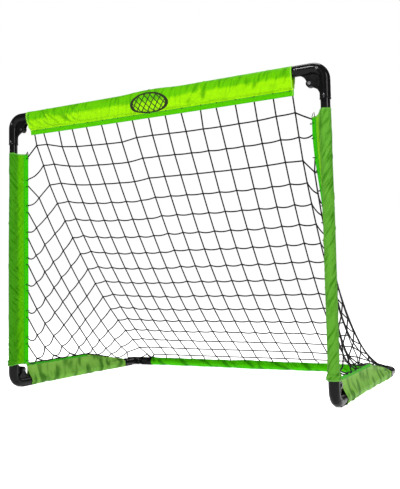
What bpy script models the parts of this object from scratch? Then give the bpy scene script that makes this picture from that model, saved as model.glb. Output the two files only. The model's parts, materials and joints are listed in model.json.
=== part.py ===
"""Folding sports goal: a tube frame with hinged corner fittings, fabric sleeves and a net.

+X runs along the crossbar, +Y into the goal and +Z up, in metres. The origin is on the
ground, under the middle of the bounding box. Positions are first written in the goal's own
frame, which starts midway between the axes of the two posts, on the level of the axes of the
base tubes; SHIFT carries them to the part's frame.

A corner fitting is two elbow halves that meet on the corner's diagonal. It is modelled in its
own axes: u along the arm of half A, v along the arm of half B, and n = u x v along the pin.
"""

from math import cos, pi, radians, sin, sqrt

import bmesh
import bpy
from mathutils import Matrix, Vector

# Driving dimensions of the goal, between tube axes
MOUTH_WIDTH = 0.906
MOUTH_HEIGHT = 0.740
DEPTH = 0.622

# Tubes
TUBE_RADIUS = 0.011
TUBE_WALL = 0.0012
TUBE_SIDES = 16
PIN_SIDES = 12
RIVET_SIDES = 8
GAP = 0.0003

# Corner fittings
ELBOW_RADIUS = 0.0126
BEND_RADIUS = 0.029
SEAM_ANGLE = radians(0.6)
SOCKET_START = 0.032
LONG_ARM = 0.074
SHORT_ARM = 0.060
PIN_OFFSET = 0.034
BOSS_RADIUS = 0.0085
TONGUE_HALF = 0.0030
FORK_HALF = 0.0073
WEB_RELIEF = 0.0004
WEB_TIP = 0.060
WEB_FOOT = 0.054
WEB_HOLLOW = 0.0035
WEB_EDGE_ANGLE = radians(-25)
PIN_RADIUS = 0.0025
PIN_HEAD_RADIUS = 0.0042
PIN_HEAD = 0.0014
PIN_BEVEL = 0.0006
THROUGH = 0.02

# Rivets and lock buttons
RIVET_RADIUS = 0.0015
RIVET_HEAD_RADIUS = 0.0032
RIVET_CROWN_RADIUS = 0.0018
RIVET_HEAD = 0.0010
RIVET_RIM = 0.0002
RIVET_TAIL = 0.0008
RIVET_INSET = 0.008
BUTTON_RADIUS = 0.0038
BUTTON_ANGLE = radians(28)
BUTTON_TRAVEL = 0.003
BUTTON_FLOOR = 0.0006
BUTTON_DOME = ((0, 0), (0.0014, 0.0001), (0.0026, 0.0005), (BUTTON_RADIUS, 0.0014))
POCKET_DEPTH = 0.0094
FACE_REACH = 0.0140

# Hinges in the middle of the crossbar and of the rear bar
MID_OFFSET = 0.0132
MID_LENGTH = 0.046
MID_SOCKET_START = 0.014
MID_KNUCKLE_RADIUS = 0.0034
MID_PIN_RADIUS = 0.0016
MID_TONGUE_HALF = 0.0030
MID_FORK_HALF = 0.0064
MID_WEB_LENGTH = 0.009
MID_WEB_DEPTH = 0.0046
MID_WEB_RELIEF = 0.0002

# Feet under the base fittings
FOOT_DROP = 0.0134
FOOT_WIDTH = 0.014
FOOT_START = 0.030
FOOT_END_INSET = 0.002
FOOT_ROOT = 0.005

# Fabric sleeves
SLEEVE_INNER = TUBE_RADIUS + GAP
SLEEVE_OUTER = 0.0125
SLEEVE_END_GAP = 0.001
FLAP_HALF = 0.0015
FLAP_SPREAD = 1.6
CROSSBAR_FLAP = 0.054
POST_FLAP = 0.047
SIDE_FLAP = 0.045
POST_SLEEVE_TOP = 0.096

# Net panels
NET_HALF = 0.0010
NET_SIDE_CLEARANCE = 0.040
NET_EDGE_GAP = 0.003
NET_CORNER = 0.066
UPPER_NET_SHARE = 0.534
SIDE_NET_REACH = 0.80
SIDE_NET_HOLLOW = 0.28
SIDE_NET_STEPS = 10
SIDE_NET_STEP_GAP = 0.001

# Welding distance of mesh points, and the angle from which an edge is drawn sharp
WELD = 0.00001
SHARP_ANGLE = radians(40)
JOINT_MARK = 0.02

REAR_REACH = MID_OFFSET + MID_KNUCKLE_RADIUS
SHIFT = Vector((0, (FACE_REACH - REAR_REACH - DEPTH) / 2, FOOT_DROP))
HALF = MOUTH_WIDTH / 2
X, Y, Z = Vector((1, 0, 0)), Vector((0, 1, 0)), Vector((0, 0, 1))

# Each corner: place of the meeting tube axes, arm directions, bodies and arm lengths of the
# halves A and B, and the halves that carry a foot.
CORNERS = {
    "top_left": (
        (-HALF, 0, MOUTH_HEIGHT), -Z, X, "post_left", "crossbar_left", LONG_ARM, LONG_ARM, ""
    ),
    "top_right": (
        (HALF, 0, MOUTH_HEIGHT), -X, -Z, "crossbar_right", "post_right", LONG_ARM, LONG_ARM, ""
    ),
    "base_left": ((-HALF, 0, 0), Z, Y, "post_left", "side_left", SHORT_ARM, LONG_ARM, "B"),
    "base_right": ((HALF, 0, 0), Y, Z, "side_right", "post_right", LONG_ARM, SHORT_ARM, "A"),
    "rear_left": ((-HALF, DEPTH, 0), -Y, X, "side_left", "rear_left", LONG_ARM, LONG_ARM, "AB"),
    "rear_right": (
        (HALF, DEPTH, 0), -X, -Y, "rear_right", "side_right", LONG_ARM, LONG_ARM, "AB"
    ),
}

# Each body: its parent body and the place of its joint, in the goal's frame
BODIES = {
    "post_left": (None, (-HALF, 0, 0)),
    "crossbar_left": ("post_left", (-HALF + PIN_OFFSET, 0, MOUTH_HEIGHT - PIN_OFFSET)),
    "crossbar_right": ("crossbar_left", (0, 0, MOUTH_HEIGHT + MID_OFFSET)),
    "post_right": ("crossbar_right", (HALF - PIN_OFFSET, 0, MOUTH_HEIGHT - PIN_OFFSET)),
    "side_left": ("post_left", (-HALF, PIN_OFFSET, PIN_OFFSET)),
    "side_right": ("post_right", (HALF, PIN_OFFSET, PIN_OFFSET)),
    "rear_left": ("side_left", (-HALF + PIN_OFFSET, DEPTH - PIN_OFFSET, 0)),
    "rear_right": ("rear_left", (0, DEPTH + MID_OFFSET, 0)),
    "net_upper": ("post_left", (0, 0, MOUTH_HEIGHT - CROSSBAR_FLAP)),
    "net_lower": ("side_left", (0, DEPTH, SLEEVE_OUTER)),
}

# Colour, roughness and metallic value of each material
FINISHES = {
    "black_plastic": ((0.012, 0.012, 0.013), 0.28, 0.0),
    "black_tube": ((0.010, 0.010, 0.011), 0.22, 0.4),
    "dark_steel": ((0.10, 0.10, 0.11), 0.30, 1.0),
    "green_fabric": ((0.16, 0.62, 0.01), 0.70, 0.0),
    "black_net": ((0.010, 0.010, 0.010), 0.80, 0.0),
}

empties = {}
materials = {}


def clear_scene():
    for item in list(bpy.data.objects):
        bpy.data.objects.remove(item)


def new_collection(name):
    collection = bpy.data.collections.new(name)
    bpy.context.scene.collection.children.link(collection)
    return collection


def finish_material(name):
    """The material of that name, made once from FINISHES."""
    if name not in materials:
        colour, roughness, metallic = FINISHES[name]
        material = bpy.data.materials.new(name)
        material.use_nodes = True
        shader = material.node_tree.nodes["Principled BSDF"]
        shader.inputs["Base Color"].default_value = (*colour, 1)
        shader.inputs["Roughness"].default_value = roughness
        shader.inputs["Metallic"].default_value = metallic
        material.diffuse_color = (*colour, 1)
        materials[name] = material
    return materials[name]


def axes_matrix(origin, x_axis, y_axis, z_axis):
    """Placement whose columns are the three axes and the origin."""
    matrix = Matrix.Identity(4)
    for column, axis in enumerate((x_axis, y_axis, z_axis, origin)):
        for row in range(3):
            matrix[row][column] = axis[row]
    return matrix


def along_matrix(start, direction, x_axis):
    """Placement at start with +Z along direction and +X along x_axis."""
    return axes_matrix(start, x_axis, direction.cross(x_axis), direction)


def loose_object(name, mesh):
    return bpy.data.objects.new(name, mesh)


def mesh_from_bmesh(name, bm):
    mesh = bpy.data.meshes.new(name)
    bm.to_mesh(mesh)
    bm.free()
    return mesh


def box(name, low, high):
    """A box between two corners."""
    low, high = Vector(low), Vector(high)
    bm = bmesh.new()
    bmesh.ops.create_cube(bm, size=1)
    size = high - low
    bmesh.ops.scale(bm, vec=size, verts=bm.verts)
    bmesh.ops.translate(bm, vec=(low + high) / 2, verts=bm.verts)
    return loose_object(name, mesh_from_bmesh(name, bm))


def cylinder(name, radius, start, direction, length, sides=TUBE_SIDES):
    """A solid cylinder from start along direction."""
    start, direction = Vector(start), Vector(direction)
    bm = bmesh.new()
    bmesh.ops.create_cone(
        bm, cap_ends=True, segments=sides, radius1=radius, radius2=radius, depth=length
    )
    turn = Z.rotation_difference(direction).to_matrix().to_4x4()
    place = Matrix.Translation(start + direction * length / 2) @ turn
    bmesh.ops.transform(bm, matrix=place, verts=bm.verts)
    return loose_object(name, mesh_from_bmesh(name, bm))


def mesh_of_curve(curve_object):
    """The evaluated mesh of a curve, with its caps welded; the curve is removed."""
    bpy.context.scene.collection.objects.link(curve_object)
    evaluated = curve_object.evaluated_get(bpy.context.evaluated_depsgraph_get())
    mesh = bpy.data.meshes.new_from_object(evaluated)
    bm = bmesh.new()
    bm.from_mesh(mesh)
    bmesh.ops.remove_doubles(bm, verts=bm.verts, dist=WELD)
    bm.to_mesh(mesh)
    bm.free()
    bpy.data.objects.remove(curve_object)
    return mesh


def swept_rod(name, points, radius, resolution):
    """A round rod along points."""
    curve = bpy.data.curves.new(name, "CURVE")
    curve.dimensions = "3D"
    curve.bevel_depth = radius
    curve.bevel_resolution = resolution
    curve.use_fill_caps = True
    spline = curve.splines.new("POLY")
    spline.points.add(len(points) - 1)
    for point, place in zip(spline.points, points):
        point.co = (*place, 1)
    return loose_object(name, mesh_of_curve(bpy.data.objects.new(name, curve)))


def flat_plate(name, outlines, half_thickness):
    """A plate in the XY plane, from an outer outline and any hole outlines."""
    curve = bpy.data.curves.new(name, "CURVE")
    curve.dimensions = "2D"
    curve.fill_mode = "BOTH"
    curve.extrude = half_thickness
    for outline in outlines:
        spline = curve.splines.new("POLY")
        spline.points.add(len(outline) - 1)
        for point, (x, y) in zip(spline.points, outline):
            point.co = (x, y, 0, 1)
        spline.use_cyclic_u = True
    return loose_object(name, mesh_of_curve(bpy.data.objects.new(name, curve)))


def turned(name, profile, sides=PIN_SIDES):
    """A solid turned about Z from (radius, height) points, which run from top to bottom."""
    bm = bmesh.new()
    verts = [bm.verts.new((radius, 0, height)) for radius, height in profile]
    for upper, lower in zip(verts, verts[1:]):
        bm.edges.new((upper, lower))
    piece = loose_object(name, mesh_from_bmesh(name, bm))
    screw = piece.modifiers.new("turn", "SCREW")
    screw.steps = sides
    screw.render_steps = sides
    screw.use_merge_vertices = True
    screw.merge_threshold = WELD
    return piece


def carve(piece, tool, operation):
    """Join tool to piece, or cut it from piece. The tool is in the piece's own axes."""
    cutters.objects.link(tool)
    tool.parent = piece
    tool.hide_render = True
    tool.display_type = "WIRE"
    modifier = piece.modifiers.new(tool.name, "BOOLEAN")
    modifier.operation = operation
    modifier.solver = "EXACT"
    modifier.object = tool


def add_part(piece, body, matrix, material):
    """Put a finished piece in the goal, on its body, at matrix in the part's frame."""
    goal.objects.link(piece)
    joint = empties[body]
    piece.parent = joint
    piece.matrix_local = Matrix.Translation(-joint_place(body)) @ matrix
    piece.data.materials.clear()
    piece.data.materials.append(finish_material(material))
    piece.data.shade_smooth()
    piece.data.set_sharp_from_angle(angle=SHARP_ANGLE)
    return piece


def joint_place(body):
    """The place of a body's joint in the part's frame."""
    if body in BODIES:
        return Vector(BODIES[body][1]) + SHIFT
    return button_place(body.removeprefix("lock_"))


def add_bodies():
    """An empty on each joint's axis, parented as the bodies are joined."""
    parents = {body: parent for body, (parent, _) in BODIES.items()}
    parents.update({f"lock_{corner}": CORNERS[corner][3] for corner in CORNERS})
    for body, parent in parents.items():
        joint = bpy.data.objects.new(f"joint_{body}", None)
        joint.empty_display_size = JOINT_MARK
        guides.objects.link(joint)
        empties[body] = joint
        joint.location = joint_place(body)
        if parent:
            joint.parent = empties[parent]
            joint.location = joint_place(body) - joint_place(parent)


# Corner fittings ---------------------------------------------------------------------------


def corner_matrix(corner):
    at, u_axis, v_axis = CORNERS[corner][:3]
    return axes_matrix(Vector(at) + SHIFT, u_axis, v_axis, u_axis.cross(v_axis))


def bend_point(angle):
    """A point of the bend's centre line, from 0 at half A's arm to 90 degrees at half B's."""
    return Vector((1 - sin(angle), 1 - cos(angle), 0)) * BEND_RADIUS


def button_place(corner):
    return corner_matrix(corner) @ bend_point(BUTTON_ANGLE)


def hollowed_edge(start, end, depth, steps=4):
    """Points from start to end along a curve that dips towards the corner by depth."""
    start, end = Vector(start), Vector(end)
    points = []
    for step in range(steps + 1):
        t = step / steps
        dip = 4 * t * (1 - t) * depth / sqrt(2)
        points.append(start.lerp(end, t) - Vector((dip, dip)))
    return points


def web_outline(side):
    """Gusset between an arm and the pin boss; side is 1 for half A and -1 for half B."""
    pin = Vector((PIN_OFFSET, PIN_OFFSET))
    seam = Vector((GAP, -GAP)) * 0.75
    way = Vector((cos(WEB_EDGE_ANGLE), sin(WEB_EDGE_ANGLE)))
    boss_edge = pin + way * (BOSS_RADIUS - PIN_BEVEL)
    outline = [
        Vector((TUBE_RADIUS, TUBE_RADIUS)) + seam,
        Vector((TUBE_RADIUS, TUBE_RADIUS * 0.55)),
        Vector((WEB_FOOT, TUBE_RADIUS * 0.82)),
    ]
    outline += reversed(hollowed_edge(boss_edge, (WEB_TIP, TUBE_RADIUS), WEB_HOLLOW))
    outline += [pin + seam]
    if side < 0:
        outline = [Vector((v, u)) for u, v in reversed(outline)]
    return [tuple(point) for point in outline]


def arm_rod(name, half, arm):
    """Arm and half of the bend, up to the seam on the diagonal."""
    steps = 4
    last = pi / 4 - SEAM_ANGLE
    end = bend_point(last)
    tangent = Vector((-cos(last), sin(last), 0))
    points = [Vector((arm, 0, 0))]
    points += [bend_point(last * step / steps) for step in range(steps)]
    points += [end - tangent * GAP, end]
    if half == "B":
        points = [Vector((v, u, 0)) for u, v, _ in points]
    return swept_rod(name, points, ELBOW_RADIUS, TUBE_SIDES // 2 - 2)


def elbow_half(corner, half):
    """One half of a corner fitting: arm with a socket, web, and tongue or fork at the pin."""
    body_a, body_b, arm_a, arm_b, feet = CORNERS[corner][3:]
    is_a = half == "A"
    body, arm = (body_a, arm_a) if is_a else (body_b, arm_b)
    along = X if is_a else Y
    boss_half = TONGUE_HALF if is_a else FORK_HALF
    name = f"{corner}_elbow_{'tongue' if is_a else 'fork'}"
    pin = Vector((PIN_OFFSET, PIN_OFFSET, 0))

    piece = arm_rod(name, half, arm)
    web = flat_plate(
        f"{name}_web", [web_outline(1 if is_a else -1)], boss_half - WEB_RELIEF
    )
    boss = cylinder(f"{name}_boss", BOSS_RADIUS, pin - Z * boss_half, Z, 2 * boss_half)
    carve(piece, web, "UNION")
    carve(piece, boss, "UNION")
    if half in feet:
        carve(piece, foot_pad(f"{name}_foot", corner, along, arm), "UNION")
    socket = cylinder(f"{name}_socket", SLEEVE_INNER, along * SOCKET_START, along, arm)
    carve(piece, socket, "DIFFERENCE")
    pin_hole = cylinder(
        f"{name}_pin_hole", PIN_RADIUS + GAP, pin - Z * THROUGH, Z, 2 * THROUGH, PIN_SIDES
    )
    carve(piece, pin_hole, "DIFFERENCE")
    seat = along * (arm - RIVET_INSET)
    rivet_hole = cylinder(
        f"{name}_rivet_hole", RIVET_RADIUS + GAP, seat, Z, THROUGH, RIVET_SIDES
    )
    carve(piece, rivet_hole, "DIFFERENCE")
    if is_a:
        pocket = cylinder(
            f"{name}_pocket",
            BUTTON_RADIUS + GAP,
            bend_point(BUTTON_ANGLE) + Z * (FACE_REACH - POCKET_DEPTH),
            Z,
            THROUGH,
            sides=PIN_SIDES,
        )
        carve(piece, pocket, "DIFFERENCE")
    else:
        slot_half = TONGUE_HALF + GAP
        slot = cylinder(
            f"{name}_slot", BOSS_RADIUS + WEB_RELIEF, pin - Z * slot_half, Z, 2 * slot_half
        )
        carve(piece, slot, "DIFFERENCE")
    return add_part(piece, body, corner_matrix(corner), "black_plastic")


def foot_pad(name, corner, along, arm):
    """Flat pad under an arm of a base fitting, in the corner's axes."""
    down = corner_matrix(corner).to_3x3().inverted() @ -Z
    across = down.cross(along)
    pad = box(
        name,
        (FOOT_START, -FOOT_WIDTH / 2, ELBOW_RADIUS - FOOT_ROOT),
        (arm - FOOT_END_INSET, FOOT_WIDTH / 2, FOOT_DROP),
    )
    pad.data.transform(axes_matrix(Vector((0, 0, 0)), along, across, down))
    return pad


def corner_pin(corner):
    """Hinge pin with a head at each end, held in the tongue."""
    head_start = FORK_HALF + GAP
    top = head_start + PIN_HEAD
    upper = [
        (0, top),
        (PIN_HEAD_RADIUS - PIN_BEVEL, top),
        (PIN_HEAD_RADIUS, top - PIN_BEVEL),
        (PIN_HEAD_RADIUS, head_start),
        (PIN_RADIUS, head_start),
    ]
    profile = upper + [(radius, -height) for radius, height in reversed(upper)]
    at = corner_matrix(corner) @ Matrix.Translation((PIN_OFFSET, PIN_OFFSET, 0))
    piece = turned(f"{corner}_hinge_pin", profile)
    return add_part(piece, CORNERS[corner][3], at, "dark_steel")


def lock_button(corner):
    """Domed spring button that locks the corner; it slides into the tongue half."""
    foot = FACE_REACH - POCKET_DEPTH + BUTTON_TRAVEL + BUTTON_FLOOR
    profile = [(radius, FACE_REACH - drop) for radius, drop in BUTTON_DOME]
    profile += [(BUTTON_RADIUS, foot), (0, foot)]
    at = corner_matrix(corner) @ Matrix.Translation(bend_point(BUTTON_ANGLE))
    piece = turned(f"{corner}_lock_button", profile)
    return add_part(piece, f"lock_{corner}", at, "dark_steel")


def arm_rivet(corner, half):
    """Rivet that holds a tube in its socket."""
    u_body, v_body, arm_a, arm_b = CORNERS[corner][3:7]
    is_a = half == "A"
    arm = arm_a if is_a else arm_b
    along = X if is_a else Y
    seat = ELBOW_RADIUS + GAP
    tail = TUBE_RADIUS - TUBE_WALL - RIVET_TAIL
    profile = [
        (0, seat + RIVET_HEAD),
        (RIVET_CROWN_RADIUS, seat + RIVET_HEAD - RIVET_RIM),
        (RIVET_HEAD_RADIUS, seat + RIVET_RIM),
        (RIVET_HEAD_RADIUS, seat),
        (RIVET_RADIUS, seat),
        (RIVET_RADIUS, tail),
        (0, tail),
    ]
    at = corner_matrix(corner) @ Matrix.Translation(along * (arm - RIVET_INSET))
    tag = "tongue" if is_a else "fork"
    piece = turned(f"{corner}_{tag}_rivet", profile, sides=RIVET_SIDES)
    return add_part(piece, u_body if is_a else v_body, at, "dark_steel")


# Tubes and middle hinges -------------------------------------------------------------------


def tube(name, body, start, end, rivets):
    """Hollow tube from start to end, drilled for rivets given as (place, direction)."""
    start, end = Vector(start) + SHIFT, Vector(end) + SHIFT
    direction = (end - start).normalized()
    side = X if abs(direction.x) < 0.5 else Y
    length = (end - start).length
    piece = cylinder(name, TUBE_RADIUS, (0, 0, 0), Z, length)
    bore_radius = TUBE_RADIUS - TUBE_WALL
    bore = cylinder(f"{name}_bore", bore_radius, -Z * THROUGH, Z, length + 2 * THROUGH)
    carve(piece, bore, "DIFFERENCE")
    matrix = along_matrix(start, direction, side)
    for number, (place, out) in enumerate(rivets):
        local = matrix.inverted() @ (Vector(place) + SHIFT)
        toward = matrix.to_3x3().inverted() @ out
        hole_name = f"{name}_rivet_hole_{number}"
        hole = cylinder(hole_name, RIVET_RADIUS + GAP, local, toward, THROUGH, RIVET_SIDES)
        carve(piece, hole, "DIFFERENCE")
    return add_part(piece, body, matrix, "black_tube")


def rivet_of(corner, half):
    """Place on the tube's axis, in the goal's frame, and direction of an arm's rivet."""
    at, u_axis, v_axis, _, _, arm_a, arm_b, _ = CORNERS[corner]
    arm, along = (arm_a, u_axis) if half == "A" else (arm_b, v_axis)
    return Vector(at) + along * (arm - RIVET_INSET), u_axis.cross(v_axis)


def mid_frame(centre, outward):
    """Axes of a middle hinge: u along -X, v outward to the pin, n across."""
    return axes_matrix(Vector(centre) + SHIFT, -X, outward, (-X).cross(outward))


def mid_half(name, body, centre, outward, forked):
    """Half of a middle hinge: the tongue half, on +u, has moulded pegs that turn in the fork."""
    side = -1 if forked else 1
    along = X * side
    pin = Vector((0, MID_OFFSET, 0))
    half = MID_FORK_HALF if forked else MID_TONGUE_HALF
    slot_half = MID_TONGUE_HALF + GAP
    relief = MID_KNUCKLE_RADIUS + WEB_RELIEF
    piece = cylinder(name, ELBOW_RADIUS, along * GAP, along, MID_LENGTH)
    web_end = side * MID_WEB_LENGTH
    web_half = half - MID_WEB_RELIEF
    web = box(
        f"{name}_web",
        (min(web_end, 0), MID_OFFSET - MID_WEB_DEPTH, -web_half),
        (max(web_end, 0), MID_OFFSET - MID_WEB_RELIEF / 2, web_half),
    )
    knuckle = cylinder(f"{name}_knuckle", MID_KNUCKLE_RADIUS, pin - Z * half, Z, 2 * half)
    if not forked:
        for number, way in enumerate((Z, -Z)):
            start = pin + way * MID_TONGUE_HALF
            clearing = cylinder(f"{name}_relief_{number}", relief, start, way, THROUGH / 2)
            carve(piece, clearing, "DIFFERENCE")
    carve(piece, web, "UNION")
    carve(piece, knuckle, "UNION")
    if forked:
        slot = cylinder(f"{name}_slot", relief, pin - Z * slot_half, Z, 2 * slot_half)
        carve(piece, slot, "DIFFERENCE")
    socket = cylinder(f"{name}_socket", SLEEVE_INNER, along * MID_SOCKET_START, along, MID_LENGTH)
    carve(piece, socket, "DIFFERENCE")
    if forked:
        radius, reach, operation = MID_PIN_RADIUS + GAP, THROUGH, "DIFFERENCE"
    else:
        radius, reach, operation = MID_PIN_RADIUS, MID_FORK_HALF + GAP, "UNION"
    peg = cylinder(f"{name}_peg", radius, pin - Z * reach, Z, 2 * reach, sides=PIN_SIDES)
    carve(piece, peg, operation)
    return add_part(piece, body, mid_frame(centre, outward), "black_plastic")


# Soft parts --------------------------------------------------------------------------------


def sleeve_outline(reach):
    """Round sleeve section with a flap along +X, or a plain ring where reach is 0."""
    if not reach:
        return ring(SLEEVE_OUTER)
    first = FLAP_HALF / SLEEVE_OUTER * FLAP_SPREAD
    turn = (2 * pi - 2 * first) / TUBE_SIDES
    points = [ring_point(SLEEVE_OUTER, first + turn * step) for step in range(TUBE_SIDES + 1)]
    return points + [(reach, -FLAP_HALF), (reach, FLAP_HALF)]


def ring_point(radius, angle):
    return (radius * cos(angle), radius * sin(angle))


def ring(radius):
    return [ring_point(radius, 2 * pi * step / TUBE_SIDES) for step in range(TUBE_SIDES)]


def sleeve(name, body, start, end, flap_direction, reach):
    """Fabric sleeve round a tube, with a flap that carries the net."""
    start, end = Vector(start) + SHIFT, Vector(end) + SHIFT
    direction = (end - start).normalized()
    outlines = [sleeve_outline(reach), ring(SLEEVE_INNER)]
    piece = flat_plate(name, outlines, (end - start).length / 2)
    matrix = along_matrix((start + end) / 2, direction, flap_direction)
    return add_part(piece, body, matrix, "green_fabric")


def net_line():
    """Ends of the net's slope, from the crossbar flap's hem to the top of the rear sleeve."""
    top = Vector((0, 0, MOUTH_HEIGHT - CROSSBAR_FLAP))
    bottom = Vector((0, DEPTH, SLEEVE_OUTER))
    return top, bottom


def back_net(name, body, first, last):
    """Panel of the sloping net between two shares of the slope."""
    top, bottom = net_line()
    direction = (bottom - top).normalized()
    length = (bottom - top).length
    half_width = HALF - NET_SIDE_CLEARANCE
    piece = box(
        name,
        (-half_width, -NET_HALF, first * length + NET_EDGE_GAP),
        (half_width, NET_HALF, last * length - NET_EDGE_GAP),
    )
    matrix = along_matrix(top + SHIFT, direction, X)
    return add_part(piece, body, matrix, "black_net")


def side_net(name, body, side):
    """Side panel between a post, a side bar and a hollowed rear edge."""
    front = SLEEVE_OUTER + NET_EDGE_GAP
    low = SIDE_FLAP + NET_EDGE_GAP
    top = (front, MOUTH_HEIGHT * SIDE_NET_REACH)
    back = (DEPTH * SIDE_NET_REACH, low)
    edge = []
    for step in range(SIDE_NET_STEPS + 1):
        t = step / SIDE_NET_STEPS
        hollow = SIDE_NET_HOLLOW * t * (1 - t)
        y = top[0] + (back[0] - top[0]) * t - hollow * DEPTH
        z = top[1] + (back[1] - top[1]) * t - hollow * MOUTH_HEIGHT
        edge.append((max(y, front + SIDE_NET_STEP_GAP * step), max(z, low)))
    outline = [(front, NET_CORNER), (NET_CORNER, low)] + list(reversed(edge))
    piece = flat_plate(name, [outline], NET_HALF)
    matrix = axes_matrix(Vector((side * HALF, 0, 0)) + SHIFT, Y, Z, X)
    return add_part(piece, body, matrix, "black_net")


# Assembly ----------------------------------------------------------------------------------


def build_corners():
    for corner in CORNERS:
        for half in "AB":
            elbow_half(corner, half)
            arm_rivet(corner, half)
        corner_pin(corner)
        lock_button(corner)


def build_tubes():
    tube_end = SOCKET_START + GAP
    mid_end = MID_SOCKET_START + GAP
    for side, tag in ((-1, "left"), (1, "right")):
        x = side * HALF
        half_of = ("A", "B") if side < 0 else ("B", "A")
        tube(
            f"post_tube_{tag}",
            f"post_{tag}",
            (x, 0, tube_end),
            (x, 0, MOUTH_HEIGHT - tube_end),
            [rivet_of(f"top_{tag}", half_of[0]), rivet_of(f"base_{tag}", half_of[0])],
        )
        tube(
            f"side_tube_{tag}",
            f"side_{tag}",
            (x, tube_end, 0),
            (x, DEPTH - tube_end, 0),
            [rivet_of(f"base_{tag}", half_of[1]), rivet_of(f"rear_{tag}", half_of[0])],
        )
        for bar, corner, y, z in (
            ("crossbar", f"top_{tag}", 0, MOUTH_HEIGHT),
            ("rear", f"rear_{tag}", DEPTH, 0),
        ):
            tube(
                f"{bar}_tube_{tag}",
                f"{bar}_{tag}",
                (side * mid_end, y, z),
                (side * (HALF - tube_end), y, z),
                [rivet_of(corner, half_of[1])],
            )


def build_mid_hinges():
    for bar, centre, outward in (
        ("crossbar", (0, 0, MOUTH_HEIGHT), Z),
        ("rear", (0, DEPTH, 0), Y),
    ):
        mid_half(f"{bar}_hinge_tongue", f"{bar}_left", centre, outward, False)
        mid_half(f"{bar}_hinge_fork", f"{bar}_right", centre, outward, True)


def build_soft_parts():
    arm_end = LONG_ARM + SLEEVE_END_GAP
    mid_end = MID_LENGTH + GAP + SLEEVE_END_GAP
    for side, tag in ((-1, "left"), (1, "right")):
        x = side * HALF
        inward_back = (X * -side + Y).normalized()
        sleeve(
            f"post_sleeve_{tag}",
            f"post_{tag}",
            (x, 0, SHORT_ARM + SLEEVE_END_GAP),
            (x, 0, MOUTH_HEIGHT - POST_SLEEVE_TOP),
            inward_back,
            POST_FLAP,
        )
        sleeve(
            f"side_sleeve_{tag}",
            f"side_{tag}",
            (x, arm_end, 0),
            (x, DEPTH - arm_end, 0),
            Z,
            SIDE_FLAP,
        )
        for bar, y, z, flap in (
            ("crossbar", 0, MOUTH_HEIGHT, CROSSBAR_FLAP),
            ("rear", DEPTH, 0, 0),
        ):
            sleeve(
                f"{bar}_sleeve_{tag}",
                f"{bar}_{tag}",
                (side * mid_end, y, z),
                (side * (HALF - arm_end), y, z),
                -Z if bar == "crossbar" else Z,
                flap,
            )
        side_net(f"side_net_{tag}", f"post_{tag}", side)
    back_net("back_net_upper", "net_upper", 0, UPPER_NET_SHARE)
    back_net("back_net_lower", "net_lower", UPPER_NET_SHARE, 1)


clear_scene()
goal = new_collection("folding_goal")
cutters = new_collection("cutters")
guides = new_collection("joint_guides")
add_bodies()
build_corners()
build_tubes()
build_mid_hinges()
build_soft_parts()
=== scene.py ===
"""Looks of a folding sports goal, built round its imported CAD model.

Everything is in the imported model's frame, in metres: +X along the crossbar, +Y into the goal,
+Z up. Shapes are first written in the goal's own frame, whose origin lies midway between the
axes of the two posts, on the level of the base tubes' axes; place() carries them over.
"""

import json
from math import ceil, cos, pi, radians, sin

import bmesh
import bpy
import numpy as np
from mathutils import Matrix, Vector

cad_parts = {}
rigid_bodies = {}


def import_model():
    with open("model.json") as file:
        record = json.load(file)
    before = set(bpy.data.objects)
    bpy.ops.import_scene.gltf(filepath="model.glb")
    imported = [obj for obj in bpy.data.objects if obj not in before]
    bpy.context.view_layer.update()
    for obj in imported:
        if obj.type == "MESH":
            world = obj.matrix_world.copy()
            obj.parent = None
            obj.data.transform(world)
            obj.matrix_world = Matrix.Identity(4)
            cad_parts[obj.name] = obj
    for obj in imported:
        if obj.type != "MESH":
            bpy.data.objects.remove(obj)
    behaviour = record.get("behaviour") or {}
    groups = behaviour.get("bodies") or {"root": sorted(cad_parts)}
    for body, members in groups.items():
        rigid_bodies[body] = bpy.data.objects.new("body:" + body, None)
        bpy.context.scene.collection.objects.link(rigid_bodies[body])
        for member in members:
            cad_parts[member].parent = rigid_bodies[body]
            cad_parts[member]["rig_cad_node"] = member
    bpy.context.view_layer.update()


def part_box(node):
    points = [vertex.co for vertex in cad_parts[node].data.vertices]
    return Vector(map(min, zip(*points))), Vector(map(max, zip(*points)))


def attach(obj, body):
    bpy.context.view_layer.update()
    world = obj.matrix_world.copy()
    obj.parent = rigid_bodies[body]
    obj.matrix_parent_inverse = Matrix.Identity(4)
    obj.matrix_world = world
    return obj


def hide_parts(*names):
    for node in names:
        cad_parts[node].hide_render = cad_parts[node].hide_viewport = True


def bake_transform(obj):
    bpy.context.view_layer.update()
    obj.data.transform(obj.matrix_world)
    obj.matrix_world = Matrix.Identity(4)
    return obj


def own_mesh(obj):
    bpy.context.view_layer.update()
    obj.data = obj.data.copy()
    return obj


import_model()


def middle(node):
    low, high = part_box(node)
    return (low + high) / 2


LEFT = middle("post_tube_left").x
RIGHT = middle("post_tube_right").x
FRONT = middle("post_tube_left").y
BACK = middle("rear_tube_left").y
BASE = middle("side_tube_left").z
TOP = middle("crossbar_tube_left").z
HEIGHT = TOP - BASE
DEPTH = BACK - FRONT
HALF = (RIGHT - LEFT) / 2
TUBE_RADIUS = (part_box("post_tube_left")[1].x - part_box("post_tube_left")[0].x) / 2
ORIGIN = Vector(((LEFT + RIGHT) / 2, FRONT, BASE))
X, Y, Z = Vector((1, 0, 0)), Vector((0, 1, 0)), Vector((0, 0, 1))
X_AXIS = np.array([1.0, 0, 0])
HAND = {-1: "left", 1: "right"}


def place(point):
    """A point of the goal's own frame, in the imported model's frame."""
    return Vector(point) + ORIGIN


def smooth(t):
    t = np.clip(t, 0, 1)
    return t * t * (3 - 2 * t)


# Objects and meshes


def add_object(name, data):
    thing = bpy.data.objects.new(name, data)
    bpy.context.scene.collection.objects.link(thing)
    return thing


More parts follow.
